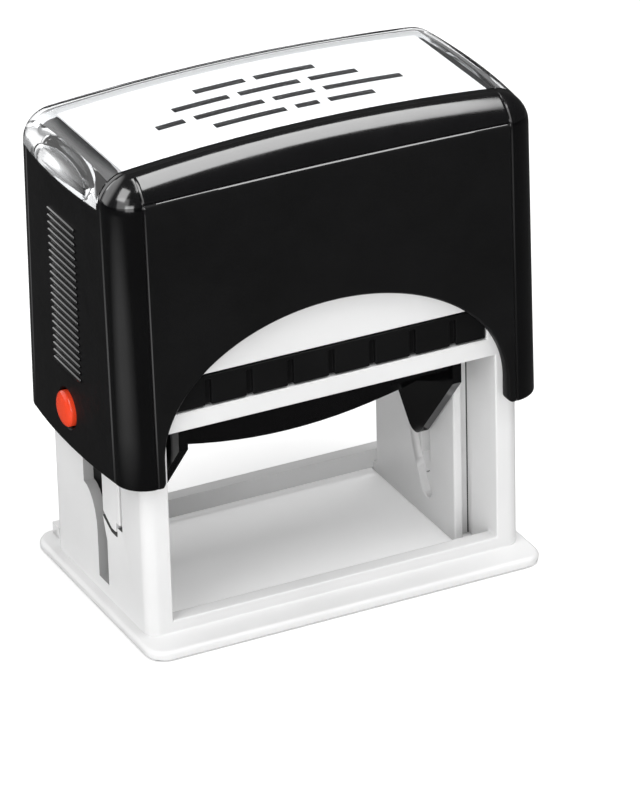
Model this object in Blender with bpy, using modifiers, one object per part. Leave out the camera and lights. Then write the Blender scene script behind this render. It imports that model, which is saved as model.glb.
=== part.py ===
"""Self inking stamp: a sprung cover slides down over a white frame and flips the inked die onto the paper.

Metres, +Z up. X runs along the stamp, -Y is the front, and Z = 0 is the surface it stands on.
"""

import math

import bmesh
import bpy
from mathutils import Matrix, Vector

# Base frame: flange, walls and the windows in them
FLANGE_HALF = (0.040, 0.0268)
FLANGE_THICK = 0.0020
FLANGE_CORNER = 0.0040
FLANGE_LEVELS = ((0.0, 0.0003), (0.0004, 0.0), (0.0012, 0.0), (0.0017, 0.0002), (FLANGE_THICK, 0.0008))
FRAME_HALF = (0.0379, 0.0206)
FRAME_CORNER = 0.0025
WALL = 0.0020
RAIL_TOP = 0.0044
RAIL_DEEP = 0.0034
WINDOW_HALF = 0.0330
WINDOW_TOP = 0.0419
SLOT_BOTTOM = 0.0456
SLOT_TOP = 0.0521
TRAY_FLOOR = 0.0543
FRAME_TOP = 0.0613
PANEL_X = 0.0290
PANEL_THICK = 0.0030
PANEL_FRONT = -0.0115
PANEL_LIP = (0.0017, 0.0022)
BACK_RAIL = (0.0222, 0.0250)
BACK_RAIL_LOW = 0.0006
SHAFT_HALF_Y = 0.0072
BOSS_RADIUS = 0.0032
BOSS_TALL = 0.0025

# Lock tongue in each end wall, and the slot beside it
TONGUE_Y = (-0.0102, -0.0016)
TONGUE_Z = (0.0192, 0.0430)
TONGUE_HOOK = 0.0021
TONGUE_PROUD = 0.0001
END_SLOT_Y = (-0.0034, 0.0009)
END_SLOT_Z = (0.0048, 0.0140, 0.0370)
END_SLOT_BACK = 0.0062

# Cover: outer form, walls and top
COVER_BOTTOM = 0.0329
COVER_MID_HALF = (0.0419, 0.0225)
COVER_MID_Z = 0.060
COVER_TAPER = (0.0, 0.0257)
COVER_CORNER = 0.0058
END_BOW = 0.0010
TOP_FILLET = 0.0054
TOP_END_Z = 0.0914
TOP_RISE = 0.0024
CAVITY_HALF = (0.0405, 0.02095)
CAVITY_CORNER = 0.0040
CAVITY_STEP_Z = 0.0840
CAVITY_ROOF_Z = 0.0878
ROOF_HALF = (0.0358, 0.0125)
ARCH_CENTRE_Z = 0.0378
ARCH_HALF = (0.0343, 0.0237)
LEG_CORNER = 0.0012
SEAM_X = 0.0362
SEAM_Y = 0.0168
SEAM_Z = 0.0868
SEAM_WIDE = 0.0005
SEAM_DEEP = 0.0004
LID_EDGE_Z = 0.0855
LID_FRONT_Y = -0.0150
LID_THICK = 0.0015
LID_BLOCK_X = 0.0376
PLATFORM_INSET = 0.0026
PLATFORM_END_X = 0.0373
CARD_HALF_X = 0.0358
CARD_Y = (-0.0144, 0.0152)
CARD_THICK = 0.0004

# Side grips and lock buttons
RIDGE_COUNT = 22
RIDGE_Z = (0.0490, 0.0785)
RIDGE_Y = (-0.0065, 0.0050)
RIDGE_TALL = 0.0006
RIDGE_PROUD = 0.0004
RIDGE_ROOT = 0.0007
BUTTON_Y = 0.0005
BUTTON_Z = 0.0405
BUTTON_RADIUS = 0.0034
BUTTON_PROUD = 0.0013
BUTTON_DOME = ((0.0, 0.0), (0.5, 0.0001), (0.8, 0.0004), (1.0, 0.0010))
COLLAR_RADIUS = 0.0045
COLLAR_THICK = 0.0009

# Flip mechanism: the die meets the pad at rest and the paper when pressed
PRESS = 0.0220
PAD_FACE = 0.0458
INK_GAP = 0.0011
PAPER_GAP = 0.0003
AXLE_Z = (PAD_FACE - INK_GAP + PRESS + PAPER_GAP) / 2
DIE_REACH = (PAD_FACE - INK_GAP - PRESS - PAPER_GAP) / 2
PIN_RADIUS = 0.0015
PIN_X = (0.0230, 0.0349)
PIN_BOSS_X = (0.0215, 0.0275)
PIN_BOSS_RADIUS = 0.0036
CAM_RADIUS = 0.0053
CAM_PIN_RADIUS = 0.0013
CAM_GROOVE_DEEP = 0.0017
DIE_HALF = (0.0258, 0.0110)
DIE_BASE = 0.0011
DIE_BAR_TALL = 0.0009
DIE_BAR_HALF = 0.0012
DIE_BAR_PITCH = 0.0048
DIE_BARS = (
    ((-0.56, -0.06), (0.06, 0.52)),
    ((-0.84, -0.34), (-0.22, 0.30), (0.42, 0.82)),
    ((-0.94, -0.68), (-0.56, 0.02), (0.14, 0.40), (0.52, 0.94)),
    ((-0.70, -0.10), (0.02, 0.24), (0.36, 0.70)),
)
CUSHION_THICK = 0.0016
PLATEN_HALF_Y = 0.0150
PLATEN_THICK = 0.0022
WEB_HALF_Y = 0.00125
WEB_DROP = (0.0035, 0.0074)
CHEEK_X = (0.0267, 0.0285)
CHEEK_HALF_Y = 0.0158
CHEEK_DROP = 0.0147
CHEEK_NOSE = 0.0032
CHEEK_SLOPE = 49
CHEEK_SHOULDER = 0.0020
ARM_X = (0.0325, 0.0354)
ARM_HALF_Y = 0.0060
BRIDGE_Z = (0.0853, 0.0875)
BRIDGE_HALF_Y = 0.0085

# Springs, pad and cartridge
SPRING_X = 0.0180
SPRING_RADIUS = 0.0046
SPRING_WIRE = 0.0011
SPRING_TURNS = 6.5
SPRING_POINTS = 9
SPRING_HOLE_MORE = 0.0015
CARTRIDGE_HALF_X = 0.0310
CARTRIDGE_BACK = 0.0182
CARTRIDGE_WALL = 0.0015
GRIP_GROOVES = 7
GRIP_GROOVE = (0.0012, 0.0008)
GRIP_MARGIN = 0.6
PAD_HALF = (0.0275, 0.0130)

FIT = 0.0003
OVERLAP = 0.001
BIG = 0.2
CORNER_STEPS = 7
EDGE_STEPS = 14
FILLET_STEPS = 9
ARCH_STEPS = 37
LEG_STEPS = 4
TOP_SHARE = 0.3
BOW_SHARES = (0.12, 0.40, 0.70)
ROUND = 24
SIDES = (-1, 1)
HANDS = {-1: "left", 1: "right"}


def clear_scene():
    for obj in list(bpy.data.objects):
        bpy.data.objects.remove(obj, do_unlink=True)


def new_collection(name):
    collection = bpy.data.collections.new(name)
    bpy.context.scene.collection.children.link(collection)
    return collection


def new_material(name, colour, roughness, metallic=0.0, transmission=0.0):
    material = bpy.data.materials.new(name)
    material.use_nodes = True
    shader = material.node_tree.nodes["Principled BSDF"]
    shader.inputs["Base Color"].default_value = (*colour, 1.0)
    shader.inputs["Roughness"].default_value = roughness
    shader.inputs["Metallic"].default_value = metallic
    shader.inputs["Transmission Weight"].default_value = transmission
    material.diffuse_color = (*colour, 1.0)
    return material


clear_scene()
PARTS = new_collection("self_inking_stamp")
CUTTERS = new_collection("cutters")
WHITE = new_material("white_plastic", (0.86, 0.86, 0.86), 0.35)
BLACK = new_material("black_plastic", (0.012, 0.012, 0.013), 0.30)
CLEAR = new_material("clear_plastic", (0.95, 0.97, 0.98), 0.05, transmission=0.95)
CARD = new_material("white_card", (0.92, 0.92, 0.92), 0.70)
RED = new_material("red_plastic", (0.85, 0.07, 0.02), 0.35)
FELT = new_material("inked_felt", (0.015, 0.015, 0.02), 0.95)
RUBBER = new_material("die_rubber", (0.22, 0.05, 0.04), 0.75)
FOAM = new_material("grey_foam", (0.30, 0.30, 0.31), 0.90)
STEEL = new_material("spring_steel", (0.55, 0.55, 0.56), 0.30, metallic=1.0)


def add_mesh(name, bm, material=None, origin=(0.0, 0.0, 0.0)):
    """Makes an object from a bmesh in world space. With no material it is a cutter."""
    bmesh.ops.recalc_face_normals(bm, faces=bm.faces)
    bmesh.ops.translate(bm, verts=bm.verts, vec=-Vector(origin))
    mesh = bpy.data.meshes.new(name)
    bm.to_mesh(mesh)
    bm.free()
    obj = bpy.data.objects.new(name, mesh)
    obj.location = origin
    if material:
        mesh.materials.append(material)
        mesh.shade_smooth()
        mesh.set_sharp_from_angle(angle=math.radians(35))
        PARTS.objects.link(obj)
    else:
        obj.hide_render = True
        obj.display_type = "WIRE"
        CUTTERS.objects.link(obj)
    return obj


def combine(obj, other, operation):
    modifier = obj.modifiers.new(f"{operation.lower()}_{other.name}", "BOOLEAN")
    modifier.operation = operation
    modifier.solver = "EXACT"
    modifier.object = other


def cut(obj, *others):
    for other in others:
        combine(obj, other, "DIFFERENCE")


def join(obj, *others):
    for other in others:
        combine(obj, other, "UNION")


def box(name, low, high, material=None, origin=(0.0, 0.0, 0.0)):
    bm = bmesh.new()
    centre = (Vector(low) + Vector(high)) / 2
    size = Vector(high) - Vector(low)
    bmesh.ops.create_cube(bm, size=1.0, matrix=Matrix.Translation(centre) @ Matrix.Diagonal((*size, 1.0)))
    return add_mesh(name, bm, material, origin)


def cylinder_x(name, radius, x_range, y, z, material=None, origin=(0.0, 0.0, 0.0)):
    bm = bmesh.new()
    middle = Vector((sum(x_range) / 2, y, z))
    turn = Matrix.Rotation(math.radians(90), 4, "Y")
    bmesh.ops.create_cone(
        bm,
        cap_ends=True,
        segments=ROUND,
        radius1=radius,
        radius2=radius,
        depth=abs(x_range[1] - x_range[0]),
        matrix=Matrix.Translation(middle) @ turn,
    )
    return add_mesh(name, bm, material, origin)


def cylinder_z(name, radius, x, y, z_range, material=None):
    bm = bmesh.new()
    bmesh.ops.create_cone(
        bm,
        cap_ends=True,
        segments=ROUND,
        radius1=radius,
        radius2=radius,
        depth=z_range[1] - z_range[0],
        matrix=Matrix.Translation((x, y, sum(z_range) / 2)),
    )
    return add_mesh(name, bm, material)


def extrude(name, outline, along, material=None, origin=(0.0, 0.0, 0.0)):
    """A closed outline of world points, swept by the vector along."""
    bm = bmesh.new()
    face = bm.faces.new([bm.verts.new(point) for point in outline])
    swept = bmesh.ops.extrude_face_region(bm, geom=[face])
    moved = [item for item in swept["geom"] if isinstance(item, bmesh.types.BMVert)]
    bmesh.ops.translate(bm, verts=moved, vec=Vector(along))
    return add_mesh(name, bm, material, origin)


def slab_x(name, outline, x_range, material=None, origin=(0.0, 0.0, 0.0)):
    """An outline of (y, z) points between two x values."""
    points = [(x_range[0], y, z) for y, z in outline]
    return extrude(name, points, (x_range[1] - x_range[0], 0, 0), material, origin)


def slab_y(name, outline, y_range, material=None, origin=(0.0, 0.0, 0.0)):
    """An outline of (x, z) points between two y values."""
    points = [(x, y_range[0], z) for x, z in outline]
    return extrude(name, points, (0, y_range[1] - y_range[0], 0), material, origin)


def arc(centre, radius, start, end, steps):
    """Points on an arc, angles in degrees. The radius may be a pair, for an ellipse."""
    wide, tall = radius if isinstance(radius, tuple) else (radius, radius)
    turns = [math.radians(start + (end - start) * step / steps) for step in range(steps + 1)]
    return [(centre[0] + wide * math.cos(turn), centre[1] + tall * math.sin(turn)) for turn in turns]


def rounded_ring(half_x, half_y, corner, z_of, bow=0.0):
    """A rounded rectangle: the front half from left to right, then its mirror image. The ends may bow out."""
    straight = half_y - corner
    left = arc((corner - half_x, -straight), corner, 180, 270, CORNER_STEPS)
    right = arc((half_x - corner, -straight), corner, 270, 360, CORNER_STEPS)
    span = 2 * (half_x - corner)
    middle = [(corner - half_x + span * step / EDGE_STEPS, -half_y) for step in range(1, EDGE_STEPS)]
    end = [(half_x + bow * (1 - share**2), -straight * share) for share in BOW_SHARES if bow]
    front = [(-x, y) for x, y in end] + left + middle + right + end[::-1]
    back = [(x, -y) for x, y in reversed(front)]
    return [Vector((x, y, z_of(x))) for x, y in front + back]


def loft(name, rings, material=None):
    """A closed skin through rings that are listed from the bottom to the top."""
    bm = bmesh.new()
    loops = [[bm.verts.new(point) for point in ring] for ring in rings]
    count = len(rings[0])
    for lower, upper in zip(loops, loops[1:]):
        for k in range(count):
            after = (k + 1) % count
            bm.faces.new((lower[k], lower[after], upper[after], upper[k]))
    for loop in (loops[0], loops[-1]):
        for k in range(count // 2 - 1):
            bm.faces.new((loop[k], loop[k + 1], loop[count - 2 - k], loop[count - 1 - k]))
    return add_mesh(name, bm, material)


def plate(name, half, corner, z_range, material=None):
    rings = [rounded_ring(half[0], half[1], corner, lambda x, z=z: z) for z in z_range]
    return loft(name, rings, material)


def cover_half(axis, z):
    return COVER_MID_HALF[axis] + COVER_TAPER[axis] * (COVER_MID_Z - z)


def top_rise(x):
    """How far the arched top stands above its two ends."""
    return TOP_RISE * (1 - (x / COVER_MID_HALF[0]) ** 2)


def cover_end(z):
    """How far the middle of each bowed end stands out."""
    return cover_half(0, z) + END_BOW


def cover_form(name, inset, material=None, bottom=COVER_BOTTOM):
    """The tapered form of the cover, moved inwards by inset: round corners, bowed ends and an arched top."""
    fillet = TOP_FILLET - inset
    shoulder = TOP_END_Z - TOP_FILLET
    corner = COVER_CORNER - inset
    rings = []

    def add_ring(z, pull, share):
        half = [cover_half(axis, min(z, shoulder)) - inset - pull for axis in (0, 1)]
        rings.append(rounded_ring(*half, corner - pull, lambda x: z + share * top_rise(x), END_BOW))

    add_ring(bottom, 0.0, 0.0)
    if bottom < shoulder - TOP_FILLET:
        add_ring(shoulder - TOP_FILLET, 0.0, 0.0)
    for step in range(FILLET_STEPS + 1):
        turn = math.radians(90 * step / FILLET_STEPS)
        rise = math.sin(turn)
        add_ring(shoulder + fillet * rise, fillet * (1 - math.cos(turn)), TOP_SHARE + (1 - TOP_SHARE) * rise)
    return loft(name, rings, material)


def slot_outline(path, half_wide):
    """The outline of a slot of constant width along a path of (y, z) points, with round ends."""
    steps = 7
    sides = ([], [])
    headings = []
    for k, point in enumerate(path):
        before = path[max(k - 1, 0)]
        after = path[min(k + 1, len(path) - 1)]
        heading = math.atan2(after[1] - before[1], after[0] - before[0])
        headings.append(math.degrees(heading))
        for side, sign in zip(sides, SIDES):
            turn = heading + sign * math.pi / 2
            side.append((point[0] + half_wide * math.cos(turn), point[1] + half_wide * math.sin(turn)))
    end = arc(path[-1], half_wide, headings[-1] - 90, headings[-1] + 90, steps)[1:-1]
    start = arc(path[0], half_wide, headings[0] + 90, headings[0] + 270, steps)[1:-1]
    return sides[0] + end + sides[1][::-1] + start


def mirrored(side, x_range):
    return tuple(sorted(side * x for x in x_range))


def cam_path(steps=16):
    """Where the cam pin goes, seen from the frame, while the platen turns half round and moves down."""
    turns = [math.pi * step / steps for step in range(steps + 1)]
    return [
        (CAM_RADIUS * math.sin(turn), AXLE_Z - PRESS * turn / math.pi + CAM_RADIUS * math.cos(turn))
        for turn in turns
    ]


def tongue_outline(grow):
    """The lock tongue in the end wall: a plate with a hooked lower end, or its hole when grown."""
    front, back = TONGUE_Y[0] - grow, TONGUE_Y[1] + grow
    low, high = TONGUE_Z[0] - grow, TONGUE_Z[1] + grow
    hook_front = TONGUE_Y[1] - 3 * TONGUE_HOOK - grow
    return [
        (back, high),
        (back, low),
        (back - 2 * TONGUE_HOOK, low - TONGUE_HOOK),
        (hook_front, low - TONGUE_HOOK),
        (hook_front, low),
        (front, low),
        (front, high),
    ]


def end_wall_slot():
    """The opening in the outer end wall: narrow below, and swept to the back above."""
    low, straight, high = END_SLOT_Z
    reach = END_SLOT_BACK - END_SLOT_Y[1]
    sweep = arc((END_SLOT_BACK, straight), (reach, 1.5 * reach), 180, 90, 6)
    lower = [(END_SLOT_Y[0], straight), (END_SLOT_Y[0], low), (END_SLOT_Y[1], low)]
    upper = [(END_SLOT_BACK, high), (TONGUE_Y[1], high), (TONGUE_Y[1], TONGUE_Z[0])]
    return lower + sweep + upper


def make_flange():
    """The foot of the frame, with a rounded upper edge."""
    rings = [
        rounded_ring(FLANGE_HALF[0] - pull, FLANGE_HALF[1] - pull, FLANGE_CORNER - pull, lambda x, z=z: z)
        for z, pull in FLANGE_LEVELS
    ]
    return loft("flange", rings)


def make_base_frame():
    """The flange and four walls, opened by windows, with a rail behind and a tray for the springs on top."""
    frame = plate("base_frame", FRAME_HALF, FRAME_CORNER, (FLANGE_THICK / 2, FRAME_TOP), WHITE)
    join(frame, make_flange())
    inner_y = FRAME_HALF[1] - WALL
    rail_back = RAIL_DEEP - FRAME_HALF[1]
    floor_back = BACK_RAIL[0] + OVERLAP
    ceiling = SLOT_BOTTOM + FIT
    cut(
        frame,
        box("inside", (-PANEL_X, -inner_y, RAIL_TOP), (PANEL_X, inner_y, ceiling)),
        box("floor_window", (-PANEL_X, rail_back, -BIG), (PANEL_X, floor_back, RAIL_TOP + OVERLAP)),
        box("front_recess", (-WINDOW_HALF, rail_back, -BIG), (WINDOW_HALF, PANEL_FRONT, ceiling)),
        box("front_window", (-WINDOW_HALF, -BIG, RAIL_TOP), (WINDOW_HALF, PANEL_FRONT - OVERLAP, WINDOW_TOP)),
        box("back_window", (-PANEL_X, 0.0, FLANGE_THICK + OVERLAP), (PANEL_X, BIG, WINDOW_TOP)),
        box(
            "cartridge_slot",
            (-CARTRIDGE_HALF_X - FIT, -BIG, SLOT_BOTTOM),
            (CARTRIDGE_HALF_X + FIT, CARTRIDGE_BACK + FIT, SLOT_TOP),
        ),
        box("top_tray", (WALL - FRAME_HALF[0], -inner_y, TRAY_FLOOR), (FRAME_HALF[0] - WALL, inner_y, BIG)),
    )
    rail_half_x = FRAME_HALF[0] - FRAME_CORNER / 2
    rail_low = (-rail_half_x, BACK_RAIL[0], BACK_RAIL_LOW)
    join(frame, box("back_rail", rail_low, (rail_half_x, BACK_RAIL[1], RAIL_TOP)))
    for side in SIDES:
        open_side(frame, side)


def open_side(frame, side):
    """One end of the frame: the shaft and slots of the mechanism, the lock tongue and a spring boss."""
    hand = HANDS[side]
    wall_in = FRAME_HALF[0] - WALL
    shaft_x = mirrored(side, (PANEL_X + PANEL_THICK, wall_in))
    panel_x = mirrored(side, (PANEL_X - OVERLAP, PANEL_X + PANEL_THICK + OVERLAP))
    groove_x = mirrored(side, (PANEL_X - OVERLAP, PANEL_X + CAM_GROOVE_DEEP))
    recess_x = mirrored(side, (PANEL_X + PANEL_LIP[0], WINDOW_HALF))
    skin_x = mirrored(side, (wall_in - OVERLAP / 2, FRAME_HALF[0] + OVERLAP))
    axle_path = [(0.0, AXLE_Z), (0.0, AXLE_Z - PRESS)]
    recess_back = PANEL_FRONT + PANEL_LIP[1]
    cut(
        frame,
        box(f"shaft_{hand}", (shaft_x[0], -SHAFT_HALF_Y, RAIL_TOP), (shaft_x[1], SHAFT_HALF_Y, BIG)),
        box(
            f"panel_recess_{hand}",
            (recess_x[0], PANEL_FRONT - OVERLAP, -BIG),
            (recess_x[1], recess_back, SLOT_BOTTOM - OVERLAP),
        ),
        slab_x(f"axle_slot_{hand}", slot_outline(axle_path, PIN_RADIUS + FIT), panel_x),
        slab_x(f"cam_groove_{hand}", slot_outline(cam_path(), CAM_PIN_RADIUS + 1.5 * FIT), groove_x),
        slab_x(f"end_slot_{hand}", end_wall_slot(), skin_x),
        slab_x(f"tongue_hole_{hand}", tongue_outline(FIT), skin_x),
    )
    boss_z = (SLOT_TOP + OVERLAP, TRAY_FLOOR + BOSS_TALL)
    join(frame, cylinder_z(f"spring_boss_{hand}", BOSS_RADIUS, side * SPRING_X, 0.0, boss_z))
    skin = mirrored(side, (wall_in, FRAME_HALF[0] + TONGUE_PROUD))
    slab_x(f"lock_tongue_{hand}", tongue_outline(0.0), skin, WHITE)


def make_ink_cartridge():
    """The drawer in the slot, with grip grooves in its front, and the felt pad in a well in its underside."""
    front = -FRAME_HALF[1]
    low, high = SLOT_BOTTOM + FIT, SLOT_TOP - FIT
    corners = ((-CARTRIDGE_HALF_X, front, low), (CARTRIDGE_HALF_X, CARTRIDGE_BACK, high))
    cartridge = box("ink_cartridge", *corners, BLACK)
    well = [PAD_HALF[axis] + FIT for axis in (0, 1)]
    well_top = high - CARTRIDGE_WALL
    cut(cartridge, box("pad_well", (-well[0], -well[1], 0.0), (well[0], well[1], well_top)))
    pitch = 2 * CARTRIDGE_HALF_X / (GRIP_GROOVES + GRIP_MARGIN)
    half, deep = GRIP_GROOVE[0] / 2, GRIP_GROOVE[1]
    for k in range(GRIP_GROOVES):
        x = (k - (GRIP_GROOVES - 1) / 2) * pitch
        cut(cartridge, box(f"grip_groove_{k}", (x - half, -BIG, 0.0), (x + half, front + deep, high - deep)))
    box("ink_pad", (-PAD_HALF[0], -PAD_HALF[1], PAD_FACE), (*PAD_HALF, well_top - FIT), FELT)


def make_ridges(side):
    """The bank of grip ridges on one end of the cover, each following the taper of the wall."""
    bm = bmesh.new()
    pitch = (RIDGE_Z[1] - RIDGE_Z[0]) / (RIDGE_COUNT - 1)
    for k in range(RIDGE_COUNT):
        z = RIDGE_Z[0] + k * pitch
        x = side * (cover_end(z) + (RIDGE_PROUD - RIDGE_ROOT) / 2)
        size = (RIDGE_PROUD + RIDGE_ROOT, RIDGE_Y[1] - RIDGE_Y[0], RIDGE_TALL)
        place = Matrix.Translation((x, sum(RIDGE_Y) / 2, z)) @ Matrix.Diagonal((*size, 1.0))
        bmesh.ops.create_cube(bm, size=1.0, matrix=place)
    return add_mesh(f"ridges_{HANDS[side]}", bm)


def arch_outline():
    """The arch in the front and back walls. Its two feet turn outwards, which rounds the legs beside them."""
    wide = ARCH_HALF[0]
    foot_z = COVER_BOTTOM + LEG_CORNER
    curve = arc((0.0, ARCH_CENTRE_Z), ARCH_HALF, 180, 0, ARCH_STEPS)
    right = arc((wide + LEG_CORNER, foot_z), LEG_CORNER, 180, 270, LEG_STEPS)
    left = [(-x, z) for x, z in reversed(right)]
    return curve + right + [(wide + LEG_CORNER, 0.0), (-wide - LEG_CORNER, 0.0)] + left


def make_cover():
    shell = cover_form("cover_shell", 0.0, BLACK)
    inner = cover_form("skin_depth", SEAM_DEEP, bottom=COVER_BOTTOM - OVERLAP)
    cut(shell, box("lid_space", (-BIG, LID_FRONT_Y, LID_EDGE_Z), (BIG, BIG, BIG)))
    platform = cover_form("card_platform", PLATFORM_INSET, bottom=CAVITY_STEP_Z - OVERLAP)
    room = ((-PLATFORM_END_X, -BIG, 0.0), (PLATFORM_END_X, CARD_Y[1] + OVERLAP / 2, BIG))
    combine(platform, box("platform_room", *room), "INTERSECT")
    join(shell, platform)
    cut(
        shell,
        plate("cavity", CAVITY_HALF, CAVITY_CORNER, (0.0, CAVITY_STEP_Z)),
        plate("cavity_top", ROOF_HALF, CAVITY_CORNER, (COVER_MID_Z, CAVITY_ROOF_Z)),
        slab_y("arch", arch_outline(), (-BIG, BIG)),
    )
    half = SEAM_WIDE / 2
    for side in SIDES:
        hand = HANDS[side]
        x, y = side * SEAM_X, side * SEAM_Y
        for seam in (
            box(f"seam_x_{hand}", (x - half, -BIG, 0.0), (x + half, BIG, BIG)),
            box(f"seam_y_{hand}", (-BIG, y - half, 0.0), (BIG, y + half, LID_EDGE_Z + SEAM_DEEP)),
        ):
            cut(seam, inner)
            cut(shell, seam)
    roll_seam = box("seam_roll", (-SEAM_X, -BIG, SEAM_Z - half), (SEAM_X, 0.0, SEAM_Z + half))
    cut(roll_seam, inner)
    cut(shell, roll_seam)
    for side in SIDES:
        hole_x = mirrored(side, (FRAME_HALF[0], cover_end(BUTTON_Z) + OVERLAP))
        cut(shell, cylinder_x(f"button_hole_{HANDS[side]}", BUTTON_RADIUS + FIT, hole_x, BUTTON_Y, BUTTON_Z))
        join(shell, make_ridges(side))


def make_index_window():
    """The clear lid: thin over the card, with a solid block at each end."""
    window = cover_form("index_window", 0.0, CLEAR)
    room = box("window_room", (-BIG, LID_FRONT_Y + FIT, LID_EDGE_Z + FIT), (BIG, BIG, BIG))
    combine(window, room, "INTERSECT")
    hollow = cover_form("window_inside", LID_THICK)
    combine(hollow, box("hollow_room", (-LID_BLOCK_X, -BIG, 0.0), (LID_BLOCK_X, BIG, BIG)), "INTERSECT")
    cut(window, hollow)


def make_index_card():
    bm = bmesh.new()
    bmesh.ops.create_grid(bm, x_segments=EDGE_STEPS, y_segments=1, size=1.0)
    middle_y = sum(CARD_Y) / 2
    half_y = (CARD_Y[1] - CARD_Y[0]) / 2
    seat = TOP_END_Z - PLATFORM_INSET + FIT
    for vert in bm.verts:
        x = vert.co.x * CARD_HALF_X
        vert.co = Vector((x, middle_y + vert.co.y * half_y, seat + top_rise(x)))
    card = add_mesh("index_card", bm, CARD)
    thick = card.modifiers.new("thickness", "SOLIDIFY")
    thick.thickness = CARD_THICK
    thick.offset = 1.0


def make_lock_button(side):
    """A domed button with a collar that keeps it inside the cover."""
    outer = cover_end(BUTTON_Z) + BUTTON_PROUD
    inner = CAVITY_HALF[0] - FIT
    profile = [(share * BUTTON_RADIUS, outer - drop) for share, drop in BUTTON_DOME]
    profile += [(BUTTON_RADIUS, inner), (COLLAR_RADIUS, inner), (COLLAR_RADIUS, inner - COLLAR_THICK)]
    profile += [(0.0, inner - COLLAR_THICK)]
    bm = bmesh.new()
    verts = [bm.verts.new((radius, 0.0, x)) for radius, x in profile]
    edges = [bm.edges.new(pair) for pair in zip(verts, verts[1:])]
    bmesh.ops.spin(
        bm,
        geom=verts + edges,
        angle=2 * math.pi,
        steps=ROUND,
        axis=(0.0, 0.0, 1.0),
        cent=(0.0, 0.0, 0.0),
        use_merge=True,
    )
    bmesh.ops.remove_doubles(bm, verts=bm.verts, dist=0.00001)
    turn = Matrix.Rotation(side * math.radians(90), 4, "Y")
    bmesh.ops.transform(bm, matrix=Matrix.Translation((0.0, BUTTON_Y, BUTTON_Z)) @ turn, verts=bm.verts)
    add_mesh(f"lock_button_{HANDS[side]}", bm, RED, (side * outer, BUTTON_Y, BUTTON_Z))


def make_yoke():
    """A bridge under the cover's roof with two arms that hold the platen's pins."""
    far = ARM_X[1]
    yoke = box("yoke", (-far, -BRIDGE_HALF_Y, BRIDGE_Z[0]), (far, BRIDGE_HALF_Y, BRIDGE_Z[1]), WHITE)
    arm_top = BRIDGE_Z[1] - OVERLAP
    bore_x = (ARM_X[0] - OVERLAP, ARM_X[1] + OVERLAP)
    hole_z = (BRIDGE_Z[0] - OVERLAP, BRIDGE_Z[1] + OVERLAP)
    for side in SIDES:
        hand = HANDS[side]
        outline = arc((0.0, AXLE_Z), ARM_HALF_Y, 180, 360, 16)
        outline += [(ARM_HALF_Y, arm_top), (-ARM_HALF_Y, arm_top)]
        join(yoke, slab_x(f"arm_{hand}", outline, mirrored(side, ARM_X)))
        cut(
            yoke,
            cylinder_x(f"arm_bore_{hand}", PIN_RADIUS + FIT, mirrored(side, bore_x), 0.0, AXLE_Z),
            cylinder_z(f"spring_hole_{hand}", SPRING_RADIUS + SPRING_HOLE_MORE, side * SPRING_X, 0.0, hole_z),
        )


def cheek_outline(top):
    """A side plate of the platen: square above, and tapered to a rounded nose below."""
    shoulder = AXLE_Z + CHEEK_SHOULDER
    nose_z = AXLE_Z - CHEEK_DROP + CHEEK_NOSE
    nose = arc((0.0, nose_z), CHEEK_NOSE, 270 - CHEEK_SLOPE, 270 + CHEEK_SLOPE, 8)
    right = [(CHEEK_HALF_Y, shoulder), (CHEEK_HALF_Y, top)]
    left = [(-CHEEK_HALF_Y, top), (-CHEEK_HALF_Y, shoulder)]
    return left + nose + right


def web_outline(reach, top):
    """The curved rib under the platen, as (x, z) points."""
    end, low = AXLE_Z - WEB_DROP[0], AXLE_Z - WEB_DROP[1]
    sag = end - low
    radius = (reach**2 + sag**2) / (2 * sag)
    spread = math.degrees(math.asin(reach / radius))
    curve = arc((0.0, low + radius), radius, 270 - spread, 270 + spread, 16)
    return curve + [(reach, top), (-reach, top)]


def make_platen():
    """The turning plate with its cheeks, cam pins and pivot pins."""
    axis = (0.0, 0.0, AXLE_Z)
    top = AXLE_Z + DIE_REACH - DIE_BAR_TALL - DIE_BASE - CUSHION_THICK - 2 * FIT
    reach = CHEEK_X[0] + OVERLAP / 2
    low = top - PLATEN_THICK
    platen = box("platen", (-reach, -PLATEN_HALF_Y, low), (reach, PLATEN_HALF_Y, top), BLACK, axis)
    join(platen, slab_y("platen_web", web_outline(reach, top - OVERLAP), (-WEB_HALF_Y, WEB_HALF_Y)))
    cam_x = (CHEEK_X[1] - OVERLAP, PANEL_X + CAM_GROOVE_DEEP - 1.5 * FIT)
    bore_x = (PIN_X[0] - FIT, CHEEK_X[1] + OVERLAP)
    for side in SIDES:
        hand = HANDS[side]
        cam_z = AXLE_Z + CAM_RADIUS
        cam_pin = cylinder_x(f"cam_pin_{hand}", CAM_PIN_RADIUS, mirrored(side, cam_x), 0.0, cam_z)
        join(
            platen,
            slab_x(f"cheek_{hand}", cheek_outline(top), mirrored(side, CHEEK_X)),
            cylinder_x(f"pin_boss_{hand}", PIN_BOSS_RADIUS, mirrored(side, PIN_BOSS_X), 0.0, AXLE_Z),
            cam_pin,
        )
        cut(platen, cylinder_x(f"pin_bore_{hand}", PIN_RADIUS + FIT, mirrored(side, bore_x), 0.0, AXLE_Z))
        cylinder_x(f"pivot_pin_{hand}", PIN_RADIUS, mirrored(side, PIN_X), 0.0, AXLE_Z, STEEL, axis)
    make_die(top + FIT, axis)


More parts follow.
